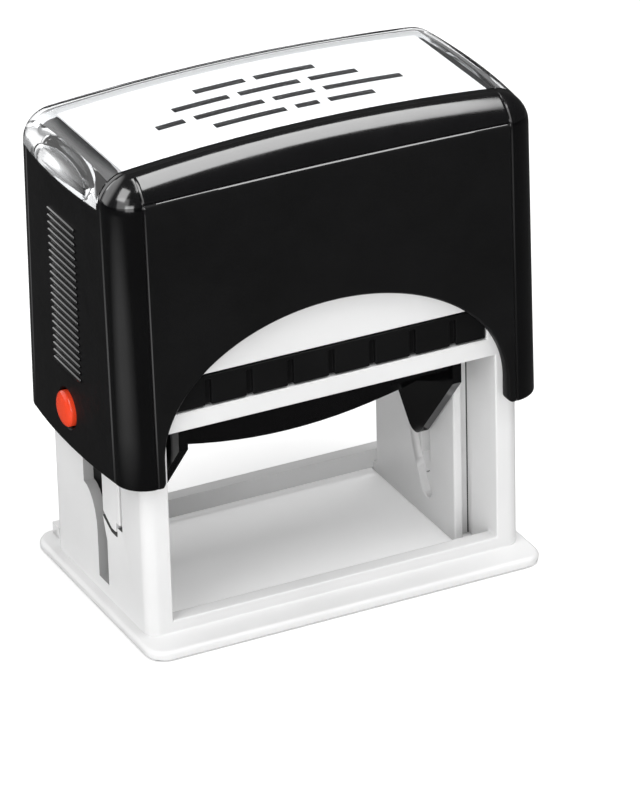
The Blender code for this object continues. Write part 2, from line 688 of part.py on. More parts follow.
def make_die(low, axis):
    """The foam cushion and the rubber die on it. Plain raised bars stand for any wording."""
    cushion_top = low + CUSHION_THICK
    box("die_cushion", (-DIE_HALF[0], -DIE_HALF[1], low), (*DIE_HALF, cushion_top), FOAM, axis)
    die_low = cushion_top + FIT
    die_top = AXLE_Z + DIE_REACH
    base_top = die_low + DIE_BASE
    die = box("rubber_die", (-DIE_HALF[0], -DIE_HALF[1], die_low), (*DIE_HALF, base_top), RUBBER, axis)
    bar_low = die_low + DIE_BASE / 2
    for row, runs in enumerate(DIE_BARS):
        y = (row - (len(DIE_BARS) - 1) / 2) * DIE_BAR_PITCH
        for k, (start, end) in enumerate(runs):
            first = (start * DIE_HALF[0], y - DIE_BAR_HALF, bar_low)
            last = (end * DIE_HALF[0], y + DIE_BAR_HALF, die_top)
            join(die, box(f"die_bar_{row}_{k}", first, last))


def make_return_spring(side):
    hand = HANDS[side]
    low = TRAY_FLOOR + FIT + SPRING_WIRE / 2
    high = CAVITY_ROOF_Z - FIT - SPRING_WIRE / 2
    count = round(SPRING_TURNS * SPRING_POINTS)
    points = []
    for k in range(count + 1):
        share = k / count
        turn = 2 * math.pi * SPRING_TURNS * share
        points.append(
            Vector(
                (
                    side * SPRING_X + SPRING_RADIUS * math.cos(turn),
                    SPRING_RADIUS * math.sin(turn),
                    low + (high - low) * share,
                )
            )
        )
    curve = bpy.data.curves.new(f"return_spring_{hand}", "CURVE")
    curve.dimensions = "3D"
    curve.bevel_depth = SPRING_WIRE / 2
    curve.bevel_resolution = 1
    curve.use_fill_caps = True
    spline = curve.splines.new("POLY")
    spline.points.add(len(points) - 1)
    for target, point in zip(spline.points, points):
        target.co = (*point, 1.0)
    curve.materials.append(STEEL)
    PARTS.objects.link(bpy.data.objects.new(f"return_spring_{hand}", curve))
    apart = SPRING_POINTS // 2
    least = min(
        (points[i] - points[j]).length for i in range(count + 1) for j in range(i + apart, count + 1)
    )
    print(f"return_spring_{hand}: least gap to itself {1000 * (least - SPRING_WIRE):.2f} mm")


def main():
    make_base_frame()
    make_ink_cartridge()
    make_cover()
    make_index_window()
    make_index_card()
    make_yoke()
    make_platen()
    for side in SIDES:
        make_lock_button(side)
        make_return_spring(side)


main()
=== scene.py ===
"""Looks of the self inking stamp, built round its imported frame.

Metres, +Z up. X runs along the stamp, -Y is the front, and Z = 0 is the surface it stands on.
"""

import math

import bmesh
import bpy
from mathutils import Matrix, Vector


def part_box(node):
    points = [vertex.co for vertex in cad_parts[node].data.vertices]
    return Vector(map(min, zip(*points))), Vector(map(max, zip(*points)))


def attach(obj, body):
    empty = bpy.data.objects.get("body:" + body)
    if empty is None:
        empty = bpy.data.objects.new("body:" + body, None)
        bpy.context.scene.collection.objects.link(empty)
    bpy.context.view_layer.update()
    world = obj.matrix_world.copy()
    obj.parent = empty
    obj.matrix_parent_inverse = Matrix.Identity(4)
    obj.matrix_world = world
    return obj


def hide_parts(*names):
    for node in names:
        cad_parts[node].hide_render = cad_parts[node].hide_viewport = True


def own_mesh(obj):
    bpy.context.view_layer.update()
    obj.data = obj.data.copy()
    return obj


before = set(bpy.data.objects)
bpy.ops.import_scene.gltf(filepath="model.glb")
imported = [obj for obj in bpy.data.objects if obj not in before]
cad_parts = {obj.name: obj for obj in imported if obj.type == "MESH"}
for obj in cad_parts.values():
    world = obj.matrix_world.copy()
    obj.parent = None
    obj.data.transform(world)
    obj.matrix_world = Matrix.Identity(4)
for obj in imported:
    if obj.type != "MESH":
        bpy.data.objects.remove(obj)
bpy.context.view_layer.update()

# General: the play between pieces, a reach past everything, tolerances, and the sides along X
FIT = 0.0003
BIG = 0.2
MERGE = 1e-6
FLAT = math.radians(0.5)
SHARP = math.radians(40)
STEEP = 0.7
ROUND = 64
SIDES = (-1, 1)
HANDS = {-1: "left", 1: "right"}

# Cover: outer form, as in the frame's cover_shell
COVER_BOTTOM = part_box("cover_shell")[0].z
COVER_MID_HALF = (0.0419, 0.0225)
COVER_MID_Z = 0.060
COVER_TAPER = (0.0, 0.0257)
COVER_CORNER = 0.0058
END_BOW = 0.0010
TOP_FILLET = 0.0054
TOP_END_Z = 0.0914
TOP_RISE = 0.0024
RISE_AT_SHOULDER = 0.15
CAVITY_HALF = (0.0405, 0.02095)
CAVITY_CORNER = 0.0040
CAVITY_STEP_Z = 0.0840
CAVITY_ROOF_Z = 0.0878
ROOF_HALF = (0.0358, 0.0125)
ARCH_CENTRE_Z = 0.0378
ARCH_HALF = (0.0343, 0.0237)
ARCH_LIP = 0.0005
LEG_CORNER = 0.0012
LID_EDGE_Z = 0.0855
LID_FRONT_Y = -0.0150
LID_THICK = 0.0015
LID_BLOCK_X = 0.0388
POCKET_CENTRE = (0.0400, 0.0020, 0.0858)
POCKET_RADII = (0.0009, 0.0110, 0.0030)
PLATFORM_BOTTOM = CAVITY_STEP_Z - 0.001
PLATFORM_INSET = 0.0026
PLATFORM_END_X = 0.0385
PLATFORM_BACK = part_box("index_card")[1].y + 0.0005
EDGE_ROUND = 0.0004

# Cover: how finely its form is drawn. Turns are in degrees.
FLAT_SHARES = (0.0, 0.2, 0.4, 0.6, 0.8, 0.93)
CORNER_STEPS = 12
EDGE_TURNS = (0, 30, 60, 90)
WALL_STEPS = 5
FILLET_STEPS = 16
ARCH_STEPS = 96
LEG_STEPS = 8
# The lip of the arch: (distance outside the wall, share of the lip's growth)
LIP_PROFILE = (
    (BIG, 1.0),
    (0.0001, 1.0),
    (-0.2 * ARCH_LIP, 0.55),
    (-0.5 * ARCH_LIP, 0.22),
    (-ARCH_LIP, 0.0),
)

# Cover: seams beside the pillars and along the roll
SEAM_HALF = 0.00030
SEAM_DEEP = 0.00030
# A seam from one side to the other: (place in half widths, share of its depth)
SEAM_PROFILE = ((-2, 0.0), (-1, 0.0), (-0.5, 0.5), (0, 1.0), (0.5, 0.5), (1, 0.0), (2, 0.0))
SEAM_NEAR = SEAM_PROFILE[:4]
SEAM_FAR = SEAM_PROFILE[4:6]
ROLL_SEAM_TURN = 17
ROLL_SEAM_ROOM = 7

# Grip ridges
RIDGE_COUNT = 22
RIDGE_Z = (0.0490, 0.0785)
RIDGE_Y = (-0.0065, 0.0050)
RIDGE_RADIUS = 0.00038
RIDGE_SIDES = 10
# The round end of a ridge: (distance from its tip, radius), both in ridge radii
RIDGE_CAP = ((0.0, 0.35), (0.3, 0.85), (0.7, 1.0))

# Buttons and their holes
BUTTON_Y = 0.0005
BUTTON_Z = 0.0405
BUTTON_RADIUS = 0.0034
BUTTON_PROUD = 0.0013
DOME_HEIGHT = 0.0010
DOME_POWER = 1.2
DOME_STEPS = 12
FLANGE_RADIUS = 0.0045
FLANGE_THICK = 0.001
HOLE_LEAD_WIDE = 0.0004
HOLE_LEAD_DEEP = 0.0005
HOLE_OUT = 0.01
HOLE_IN = 0.008

# Bars on the card: (y, runs from x to x)
CARD_BARS = (
    (0.0085, ((-0.0120, -0.0020), (0.0000, 0.0118))),
    (0.0035, ((-0.0185, -0.0075), (-0.0055, 0.0065), (0.0085, 0.0180))),
    (-0.0015, ((-0.0240, -0.0185), (-0.0165, -0.0030), (-0.0010, 0.0070), (0.0090, 0.0245))),
    (-0.0065, ((-0.0150, -0.0010), (0.0010, 0.0055), (0.0075, 0.0165))),
)
BAR_HALF = 0.0009
BAR_LIFT = 0.00004
BAR_THICK = 0.00002
BAR_STEPS = 12

# Springs
SPRING_X = 0.0180
SPRING_RADIUS = 0.0046
SPRING_WIRE = 0.0011
SPRING_TURNS = 6.5
SPRING_STEPS = 24

# Frame: places and slopes that tell its faces apart, to give painted shade to the end slots and the
# shaft behind them, and the gap round each tongue
PANEL_OUTER_X = 0.0320
END_INNER_X = 0.0359
END_OUTER_X = 0.0379
SHAFT_HALF_Y = 0.0185
RAIL_TOP = 0.0044
TONGUE_GAP = 0.0006
TONGUE_SIDE_Y = -0.0010
TONGUE_FOOT_Z = 0.0160
FACING_X = 0.9
ALONG_X = 0.5

# Rounding of the edges of each node. A face thinner than THIN_WIDTHS roundings keeps its edges sharp.
ROUNDING = {
    "base_frame": 0.00035,
    "lock_tongue": 0.0002,
    "ink_cartridge": 0.0002,
    "ink_pad": 0.0006,
    "yoke": 0.0003,
    "platen": 0.00025,
    "rubber_die": 0.0001,
    "die_cushion": 0.0003,
    "pivot_pin": 0.0002,
}
THIN_WIDTHS = 2.2
# Zones, on the right half, whose edges stay sharp because rounded ones would overlap
CROWDED = {
    "base_frame": (
        ((0.0280, -0.0030, 0.0080), (0.0330, 0.0080, 0.0420)),
        ((0.0280, 0.0190, -0.0010), (0.0330, 0.0215, 0.0450)),
        ((0.0280, 0.0150, -0.0010), (0.0375, 0.0240, 0.0060)),
        ((0.0285, -0.0300, -0.0010), (0.0295, 0.0300, 0.0010)),
        ((0.0354, -0.0300, 0.0), (0.0385, 0.0300, 0.0600)),
    ),
    "platen": (((0.0200, -0.0200, 0.0180), (0.0300, 0.0200, 0.0420)),),
}

# Camera, fitted to the photograph's frame of 640 by 790 pixels
CAMERA_TARGET = Vector((0.007237, -0.000272, 0.03121))
CAMERA_DISTANCE = 1.04761
CAMERA_AZIMUTH = math.radians(-25.724)
CAMERA_ELEVATION = math.radians(26.733)
CAMERA_ROLL = math.radians(-1.490)
CAMERA_LENS_MM = 259.74
CAMERA_FAR = 50.0

# Floor. Its ramp is read at 0 for light, at IN_MIRROR for reflections, at SHADE_PATCH_STOP where it is
# seen inside the frame, and at 1 where it is seen outside it. Inside the frame it also glows half as
# much: painted shade on top of the real shade there.
FLOOR_IN_MIRROR = 0.25
FLOOR_SHADE_PATCH_STOP = 0.5
FLOOR_STOPS = ((0.0, 0.86), (FLOOR_IN_MIRROR, 0.06), (FLOOR_SHADE_PATCH_STOP, 0.95), (1.0, 0.82))
FLOOR_SIZE = 6.0
FLOOR_Z = -0.0001
# Painted shade: the floor glows less inside this patch under the frame, which darkens the shade seen
# there.
FLOOR_SHADE_PATCH = {"X": 0.034, "Y": 0.022}
FLOOR_GLOW = 0.32
FLOOR_FAR_STOPS = ((0.25, 0.0), (0.8, 1.0))
# Painted highlight: a spot on the floor that glows only in reflections, so the glossy parts show a
# highlight with no lamp there.
FLOOR_GLINT_SPOT = (-0.17, -0.05, 0.0)
FLOOR_GLINT_SPOT_STOPS = ((0.03, 0.7), (0.10, 0.0))

# World and lamps. A lamp is (name, place, target, size, watts).
DOME_STRENGTH = 0.41
BACKDROP_STRENGTH = 1.3
BACKDROP_THROUGH_LID = 0.25
BACKDROP_WAY = (-0.505, 0.808, 0.303)
BACKDROP_STOPS = ((0.0, 0.03), (0.74, 0.05), (0.88, 1.0))
LAMPS = (
    ("overhead_softbox", (0.30, -0.14, 0.88), (0.30, -0.14, 0.0), (0.46, 0.84), 5.8),
    ("left_softbox", (-0.55, -0.25, 0.75), (0.0, 0.0, 0.05), (0.50, 0.60), 3.4),
    ("low_softbox", (-0.75, -0.55, 0.42), (0.0, 0.0, 0.05), (0.70, 0.70), 1.7),
    ("front_softbox", (-0.48, -0.85, 0.20), (0.0, 0.0, 0.02), (0.50, 0.36), 1.9),
)

# Materials: the range that noise mostly keeps to, and features per metre
NOISE_RANGE = (0.3, 0.7)
DRIFT_SCALE = 60.0
SHEEN_SCALE = 220.0


# Materials


def shader_of(material):
    return material.node_tree.nodes["Principled BSDF"]


def new_material(name, **sockets):
    """A Principled material. Keyword names are socket names with underscores for spaces."""
    material = bpy.data.materials.new(name)
    material.use_nodes = True
    for key, value in sockets.items():
        shader_of(material).inputs[key.replace("_", " ")].default_value = value
    return material


def noise(material, scale, detail=2.0):
    """A noise texture in object space. The scale is in features per metre."""
    tree = material.node_tree
    place = tree.nodes.new("ShaderNodeTexCoord")
    texture = tree.nodes.new("ShaderNodeTexNoise")
    texture.inputs["Scale"].default_value = scale
    texture.inputs["Detail"].default_value = detail
    tree.links.new(place.outputs["Object"], texture.inputs["Vector"])
    return texture.outputs["Fac"]


def between(material, factor, low, high):
    """Maps a noise factor onto a range of numbers."""
    node = material.node_tree.nodes.new("ShaderNodeMapRange")
    node.inputs["From Min"].default_value, node.inputs["From Max"].default_value = NOISE_RANGE
    node.inputs["To Min"].default_value = low
    node.inputs["To Max"].default_value = high
    material.node_tree.links.new(factor, node.inputs["Value"])
    return node.outputs["Result"]


def tint(material, factor, first, second):
    """Base colour between two colours by a noise factor."""
    ramp = material.node_tree.nodes.new("ShaderNodeValToRGB")
    for element, position, colour in zip(ramp.color_ramp.elements, NOISE_RANGE, (first, second)):
        element.position = position
        element.color = (*colour, 1.0)
    material.node_tree.links.new(factor, ramp.inputs["Fac"])
    material.node_tree.links.new(ramp.outputs["Color"], shader_of(material).inputs["Base Color"])


def bump(material, height, distance):
    node = material.node_tree.nodes.new("ShaderNodeBump")
    node.inputs["Distance"].default_value = distance
    node.inputs["Strength"].default_value = 1.0
    material.node_tree.links.new(height, node.inputs["Height"])
    material.node_tree.links.new(node.outputs["Normal"], shader_of(material).inputs["Normal"])


def plastic(name, first, second, rough, grain, grain_deep, **sockets):
    """Moulded plastic: two close colours in soft drifts, uneven gloss, and a fine mould grain."""
    material = new_material(name, **sockets)
    tint(material, noise(material, DRIFT_SCALE), first, second)
    roughness = between(material, noise(material, SHEEN_SCALE, detail=3.0), *rough)
    material.node_tree.links.new(roughness, shader_of(material).inputs["Roughness"])
    bump(material, noise(material, grain), grain_deep)
    return material


def clear_plastic(name):
    """Clear plastic that lets the lamps through to what lies under it."""
    material = new_material(
        name, Base_Color=(0.97, 0.98, 0.99, 1.0), Transmission_Weight=1.0, IOR=1.49, Roughness=0.02
    )
    tree = material.node_tree
    path = tree.nodes.new("ShaderNodeLightPath")
    through = tree.nodes.new("ShaderNodeBsdfTransparent")
    mixer = tree.nodes.new("ShaderNodeMixShader")
    tree.links.new(path.outputs["Is Shadow Ray"], mixer.inputs["Fac"])
    tree.links.new(shader_of(material).outputs["BSDF"], mixer.inputs[1])
    tree.links.new(through.outputs["BSDF"], mixer.inputs[2])
    tree.links.new(mixer.outputs["Shader"], tree.nodes["Material Output"].inputs["Surface"])
    return material


WHITE = plastic(
    "white_plastic", (0.76, 0.76, 0.76), (0.80, 0.80, 0.80), (0.30, 0.42), 2600.0, 0.000006
)
# Painted shade: a grey for the white plastic of the end slots' walls, darker only because shade falls
# there.
SLOT_PAINTED_SHADE = plastic(
    "slot_painted_shade", (0.36, 0.36, 0.36), (0.40, 0.40, 0.40), (0.45, 0.60), 2600.0, 0.000006
)
# Painted shade: near black for the white plastic deep in the shaft behind the slots and round each
# tongue, where it lies in shade.
SHAFT_PAINTED_SHADE = plastic(
    "shaft_painted_shade", (0.05, 0.05, 0.05), (0.06, 0.06, 0.06), (0.55, 0.70), 2600.0, 0.000006
)
PANEL = plastic(
    "black_panel", (0.0045, 0.0045, 0.0048), (0.0060, 0.0060, 0.0064), (0.42, 0.55), 4200.0, 0.00003,
    Specular_IOR_Level=0.25,
)
GLOSS = plastic(
    "black_gloss", (0.0016, 0.0016, 0.0018), (0.0024, 0.0024, 0.0027), (0.10, 0.17), 500.0, 0.000004,
    Specular_IOR_Level=0.55,
)
POLISH = plastic(
    "black_polish", (0.0030, 0.0030, 0.0034), (0.0042, 0.0042, 0.0046), (0.13, 0.19), 500.0, 0.000003,
    IOR=1.7, Coat_Weight=1.0, Coat_Roughness=0.12,
)
INNER = plastic(
    "black_inner", (0.0036, 0.0036, 0.0040), (0.0054, 0.0054, 0.0058), (0.36, 0.50), 3000.0, 0.000015,
    Specular_IOR_Level=0.20,
)
RED = plastic(
    "red_plastic", (0.80, 0.052, 0.016), (0.86, 0.070, 0.022), (0.14, 0.22), 2400.0, 0.000003
)
CLEAR = clear_plastic("clear_plastic")
CARD = plastic("white_card", (0.90, 0.90, 0.90), (0.93, 0.93, 0.93), (0.65, 0.80), 9000.0, 0.000012)
PRINT = plastic(
    "card_print", (0.003, 0.003, 0.003), (0.005, 0.005, 0.005), (0.75, 0.90), 9000.0, 0.000010,
    Specular_IOR_Level=0.05,
)
FELT = plastic(
    "inked_felt", (0.010, 0.010, 0.014), (0.026, 0.026, 0.032), (0.70, 0.95), 5200.0, 0.00020
)
FOAM = plastic("grey_foam", (0.24, 0.24, 0.25), (0.34, 0.34, 0.35), (0.80, 0.95), 6500.0, 0.00012)
RUBBER = plastic(
    "die_rubber", (0.19, 0.040, 0.034), (0.25, 0.058, 0.046), (0.62, 0.80), 5200.0, 0.00003
)
STEEL = plastic(
    "spring_steel", (0.50, 0.50, 0.51), (0.60, 0.60, 0.61), (0.20, 0.34), 5000.0, 0.000006,
    Metallic=1.0,
)


# Mesh helpers


def add_object(name, mesh):
    obj = bpy.data.objects.new(name, mesh)
    bpy.context.scene.collection.objects.link(obj)
    return obj


def smooth(mesh):
    mesh.shade_smooth()
    mesh.set_sharp_from_angle(angle=SHARP)


def add_mesh(name, bm, *materials):
    """Makes a piece from a bmesh in the frame's space, smooth but for its sharp edges."""
    bmesh.ops.recalc_face_normals(bm, faces=bm.faces)
    mesh = bpy.data.meshes.new(name)
    bm.to_mesh(mesh)
    bm.free()
    for material in materials:
        mesh.materials.append(material)
    smooth(mesh)
    return add_object(name, mesh)


def finish_piece(piece, body, slot, *nodes):
    """The piece rides on a body and stands for the nodes, which it hides. Its slot is not used."""
    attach(piece, body)
    if nodes:
        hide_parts(*nodes)


def evaluated_mesh(obj):
    graph = bpy.context.evaluated_depsgraph_get()
    return bpy.data.meshes.new_from_object(obj.evaluated_get(graph))


def apply_modifiers(obj):
    mesh = evaluated_mesh(obj)
    obj.modifiers.clear()
    obj.data = mesh


def boolean(obj, operation, tool):
    """Applies one Boolean and removes its tool."""
    modifier = obj.modifiers.new(operation, "BOOLEAN")
    modifier.operation = operation
    modifier.solver = "EXACT"
    modifier.object = tool
    apply_modifiers(obj)
    bpy.data.objects.remove(tool)


def cut(obj, *tools):
    for tool in tools:
        boolean(obj, "DIFFERENCE", tool)


def box(name, low, high, *materials):
    bm = bmesh.new()
    centre = (Vector(low) + Vector(high)) / 2
    size = Vector(high) - Vector(low)
    place = Matrix.Translation(centre) @ Matrix.Diagonal((*size, 1.0))
    bmesh.ops.create_cube(bm, size=1.0, matrix=place)
    return add_mesh(name, bm, *materials)


def arc(centre, radius, start, end, steps):
    """Points on an arc, angles in degrees. The radius may be a pair, for an ellipse."""
    wide, tall = radius if isinstance(radius, tuple) else (radius, radius)
    turns = [math.radians(start + (end - start) * step / steps) for step in range(steps + 1)]
    return [(centre[0] + wide * math.cos(turn), centre[1] + tall * math.sin(turn)) for turn in turns]


def bridge(bm, loops):
    """Joins closed loops of equal count, each to the next. The faces are listed by (level, place)."""
    count = len(loops[0])
    faces = {}
    for level, (lower, upper) in enumerate(zip(loops, loops[1:])):
        for k in range(count):
            after = (k + 1) % count
            faces[level, k] = bm.faces.new((lower[k], lower[after], upper[after], upper[k]))
    return faces


def loft(name, rings, *materials, face_slot=None):
    """A closed skin through rings of equal count, listed from the bottom to the top.

    A ring starts at the middle of the left end and mirrors itself in Y, so strips across Y close it.
    """
    bm = bmesh.new()
    loops = [[bm.verts.new(point) for point in ring] for ring in rings]
    faces = bridge(bm, loops)
    if face_slot:
        for (level, k), face in faces.items():
            face.material_index = face_slot(level, k)
    close_ring(bm, loops[0])
    close_ring(bm, loops[-1])
    return add_mesh(name, bm, *materials)


def close_ring(bm, loop):
    """Closes a ring with strips across Y. Each straight end is part of one many-sided face."""
    count = len(loop)
    half = count // 2
    end = 0
    while abs(loop[end + 1].co.x - loop[0].co.x) < MERGE:
        end += 1
    for middle in (0, half):
        bm.faces.new([loop[(middle + step) % count] for step in range(-end - 1, end + 2)])
    for k in range(end + 1, half - end - 1):
        bm.faces.new((loop[k], loop[k + 1], loop[count - k - 1], loop[count - k]))


def turned_x(name, profile, side, y, z, *materials):
    """A profile of (radius, distance from the middle along X) turned about a line along X."""
    bm = bmesh.new()
    verts = [bm.verts.new((radius, 0.0, along)) for radius, along in profile]
    edges = [bm.edges.new(pair) for pair in zip(verts, verts[1:])]
    bmesh.ops.spin(
        bm,
        geom=verts + edges,
        angle=2 * math.pi,
        steps=ROUND,
        axis=(0.0, 0.0, 1.0),
        cent=(0.0, 0.0, 0.0),
        use_merge=True,
    )
    bmesh.ops.remove_doubles(bm, verts=bm.verts, dist=10 * MERGE)
    turn = Matrix.Rotation(side * math.radians(90), 4, "Y")
    bmesh.ops.transform(bm, matrix=Matrix.Translation((0.0, y, z)) @ turn, verts=bm.verts)
    return add_mesh(name, bm, *materials)


def is_flat(edge):
    return len(edge.link_faces) == 2 and edge.calc_face_angle() < FLAT


def flat_region(start, found):
    """The faces that lie in one plane with a first face and touch it, in a fixed order."""
    region = {start: None}
    reach = [start]
    while reach:
        for edge in reach.pop().edges:
            fresh = [face for face in edge.link_faces if is_flat(edge) and face not in region]
            region.update(dict.fromkeys(fresh))
            reach.extend(fresh)
    found.update(region)
    return list(region)


def outlines_of(region):
    """The closed outlines of a region, as sets of points."""
    rims = [edge for face in region for edge in face.edges if not is_flat(edge)]
    outlines = []
    for edge in rims:
        joined = set(edge.verts)
        for outline in [other for other in outlines if not other.isdisjoint(joined)]:
            joined |= outline
            outlines.remove(outline)
        outlines.append(joined)
    return outlines


def extent(outline):
    low = [min(vert.co[axis] for vert in outline) for axis in range(3)]
    high = [max(vert.co[axis] for vert in outline) for axis in range(3)]
    return Vector(low), Vector(high)


def span(outline):
    low, high = extent(outline)
    return (high - low).length


def split_rings(bm):
    """Cuts each flat face with holes along a line through every hole, and marks the cuts as seams."""
    found = set()
    regions = [flat_region(face, found) for face in bm.faces if face not in found]
    for region in regions:
        outlines = sorted(outlines_of(region), key=span)
        faces_x = abs(region[0].normal.x) >= STEEP
        across = Vector((0.0, 1.0, 0.0)) if faces_x else Vector((1.0, 0.0, 0.0))
        middles = [sum(extent(outline), Vector()) / 2 for outline in outlines[:-1]]
        for middle in middles:
            geom = [*region, *dict.fromkeys(edge for face in region for edge in face.edges)]
            geom += dict.fromkeys(vert for face in region for vert in face.verts)
            halves = bmesh.ops.bisect_plane(
                bm, geom=geom, dist=MERGE, plane_co=middle, plane_no=across
            )
            region = [item for item in halves["geom"] if isinstance(item, bmesh.types.BMFace)]
            for edge in halves["geom_cut"]:
                if isinstance(edge, bmesh.types.BMEdge):
                    edge.seam = True


def is_sharp(edge, angle):
    return len(edge.link_faces) == 2 and edge.calc_face_angle() > angle


def is_cramped(face, angle, width):
    """True for a flat face that is too thin to have its edges rounded."""
    curved = any(not is_flat(edge) and not is_sharp(edge, angle) for edge in face.edges)
    return not curved and 2 * face.calc_area() < THIN_WIDTHS * width * face.calc_perimeter()


def is_crowded(edge, node):
    """True for an edge inside one of the node's crowded zones, which are given for its right half."""
    ends = [(abs(vert.co.x), vert.co.y, vert.co.z) for vert in edge.verts]
    return any(
        all(low[axis] < end[axis] < high[axis] for end in ends for axis in range(3))
        for low, high in CROWDED.get(node, ())
    )


def rounded_copy(node, name, *materials, angle=30, segments=2):
    """A node's own solid with its edges rounded, as a mould leaves them."""
    width = ROUNDING[node.removesuffix("_left").removesuffix("_right")]
    bm = bmesh.new()
    bm.from_mesh(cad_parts[node].data)
    bmesh.ops.remove_doubles(bm, verts=bm.verts, dist=10 * MERGE)
    split_rings(bm)
    bmesh.ops.dissolve_limit(bm, angle_limit=FLAT, verts=bm.verts, edges=bm.edges, delimit={"SEAM"})
    limit = math.radians(angle)
    cramped = {face for face in bm.faces if is_cramped(face, limit, width)}
    sharp = [
        edge
        for edge in bm.edges
        if is_sharp(edge, limit) and not is_crowded(edge, node) and cramped.isdisjoint(edge.link_faces)
    ]
    bmesh.ops.bevel(
        bm,
        geom=sharp,
        offset=width,
        offset_type="OFFSET",
        segments=segments,
        profile=0.5,
        affect="EDGES",
        clamp_overlap=False,
    )
    piece = add_mesh(name, bm, *materials)
    shading = piece.modifiers.new("flat_faces_stay_flat", "WEIGHTED_NORMAL")
    shading.keep_sharp = True
    shading.weight = 100
    apply_modifiers(piece)
    return piece


# Cover


def cover_half(axis, z):
    return COVER_MID_HALF[axis] + COVER_TAPER[axis] * (COVER_MID_Z - z)


def top_rise(x):
    """How far the arched top stands above its two ends."""
    return TOP_RISE * (1 - (x / COVER_MID_HALF[0]) ** 2)


def cover_end(z):
    """How far the middle of each bowed end stands out."""
    return cover_half(0, z) + END_BOW


def quarter_stations(seams):
    """Stations along a quarter of the cover's outline, from mid-front to mid-end.

    Each is (which stretch, place on it, seam depth share). The stretches are front, corner and end.
    """
    flat = [("share", share) for share in FLAT_SHARES]
    near, far = (SEAM_NEAR, SEAM_FAR) if seams else (((0, 0.0),), ())
    stations = [("front", place, 0.0) for place in flat]
    stations += [("front", ("back_off", -place), depth) for place, depth in near]
    stations += [("corner", ("along", place), depth) for place, depth in far]
    stations += [("corner", ("share", step / CORNER_STEPS), 0.0) for step in range(1, CORNER_STEPS)]
    stations += [("corner", ("from_end", place), depth) for place, depth in reversed(far)]
    stations += [("end", ("back_off", -place), depth) for place, depth in reversed(near)]
    stations += [("end", place, 0.0) for place in reversed(flat)]
    return stations


def place_station(station, half_x, half_y, corner, bow):
    """(x, y) of a station in the quarter with +X and -Y, and its outward way. The end may bow out."""
    stretch, (kind, value), _ = station
    straight = (half_x - corner, half_y - corner)
    if stretch == "front":
        along = straight[0] * value if kind == "share" else straight[0] - value * SEAM_HALF
        return Vector((along, -half_y)), Vector((0.0, -1.0))
    if stretch == "end":
        along = straight[1] * value if kind == "share" else straight[1] - value * SEAM_HALF
        bulge = bow * (1 - (along / straight[1]) ** 2)
        return Vector((half_x + bulge, -along)), Vector((1.0, 0.0))
    if kind == "share":
        turn = value * math.pi / 2
    elif kind == "along":
        turn = value * SEAM_HALF / COVER_CORNER
    else:
        turn = math.pi / 2 - value * SEAM_HALF / COVER_CORNER
    out = Vector((math.sin(turn), -math.cos(turn)))
    return Vector((straight[0], -straight[1])) + corner * out, out


def mirrored_round(quarter, flip_x=lambda item: item, flip_y=lambda item: item):
    """A quarter's items taken all the way round: left end, front, right end, then the back."""
    front = [flip_x(item) for item in reversed(quarter[1:])] + quarter
    return front + [flip_y(item) for item in reversed(front[1:-1])]


def cover_ring(z, half_x, half_y, corner, share, stations, front_push=0.0, seam_deep=0.0, bow=END_BOW):
    """One closed outline: the front from left to right, then the back. The seams are pressed in."""
    quarter = []
    for station in stations:
        place, out = place_station(station, half_x, half_y, corner, bow)
        depth = seam_deep * station[2]
        if station[0] == "front":
            depth = max(depth, front_push)
        quarter.append(place - depth * out)
    outline = mirrored_round(
        quarter, lambda point: Vector((-point.x, point.y)), lambda point: Vector((point.x, -point.y))
    )
    return [Vector((point.x, point.y, z + share * top_rise(point.x))) for point in outline]


def cover_form(name, inset, *materials, bottom=COVER_BOTTOM, seams=False, edge=0.0):
    """The cover's tapered form, moved inwards by inset: round corners and an arched, filleted top."""
    fillet = TOP_FILLET - inset
    shoulder = TOP_END_Z - TOP_FILLET
    corner = COVER_CORNER - inset
    stations = quarter_stations(seams)
    levels = []
    for turn in EDGE_TURNS if edge else EDGE_TURNS[-1:]:
        pull = edge * (1 - math.sin(math.radians(turn)))
        levels.append((bottom + edge * (1 - math.cos(math.radians(turn))), pull, 0.0, 0.0))
    straight = shoulder - TOP_FILLET
    if bottom < straight:
        low = bottom + edge
        for step in range(1, WALL_STEPS + 1):
            levels.append((low + (straight - bottom - edge) * step / WALL_STEPS, 0.0, 0.0, 0.0))
    turns = [(step * 90 / FILLET_STEPS, 0.0) for step in range(FILLET_STEPS + 1)]
    if seams:
        turns = [pair for pair in turns if abs(pair[0] - ROLL_SEAM_TURN) > ROLL_SEAM_ROOM]
        width = math.degrees(SEAM_HALF / fillet)
        for place, depth in SEAM_PROFILE:
            turns.append((ROLL_SEAM_TURN + place * width, depth * SEAM_DEEP))
    for turn, push in sorted(turns):
        rise = math.sin(math.radians(turn))
        share = RISE_AT_SHOULDER + (1 - RISE_AT_SHOULDER) * rise**2
        pull = fillet * (1 - math.cos(math.radians(turn)))
        levels.append((shoulder + fillet * rise, pull, share, push))
    rings = []
    for z, pull, share, push in levels:
        half = [cover_half(axis, min(z, shoulder)) - inset - pull for axis in (0, 1)]
        deep = 0.0 if z in (levels[0][0], levels[-1][0]) else SEAM_DEEP
        rings.append(cover_ring(z, *half, corner - pull, share, stations, push, deep))
    seam_z = shoulder + fillet * math.sin(math.radians(ROLL_SEAM_TURN))
    stretches = mirrored_round([station[0] for station in stations])
    depths = mirrored_round([station[2] for station in stations])

    def face_slot(level, k):
        """Flat walls are matte, corner pillars glossy, and the rolled top and the seams polished."""
        after = (k + 1) % len(stretches)
        if rings[level][k].z > seam_z - MERGE or depths[k] + depths[after] > 0:
            return 2
        return 1 if "corner" in (stretches[k], stretches[after]) else 0

    return loft(name, rings, *materials, face_slot=face_slot if len(materials) > 1 else None)


def cavity(name, half, z_range):
    stations = quarter_stations(False)
    return loft(name, [cover_ring(z, *half, CAVITY_CORNER, 0.0, stations, bow=0.0) for z in z_range])


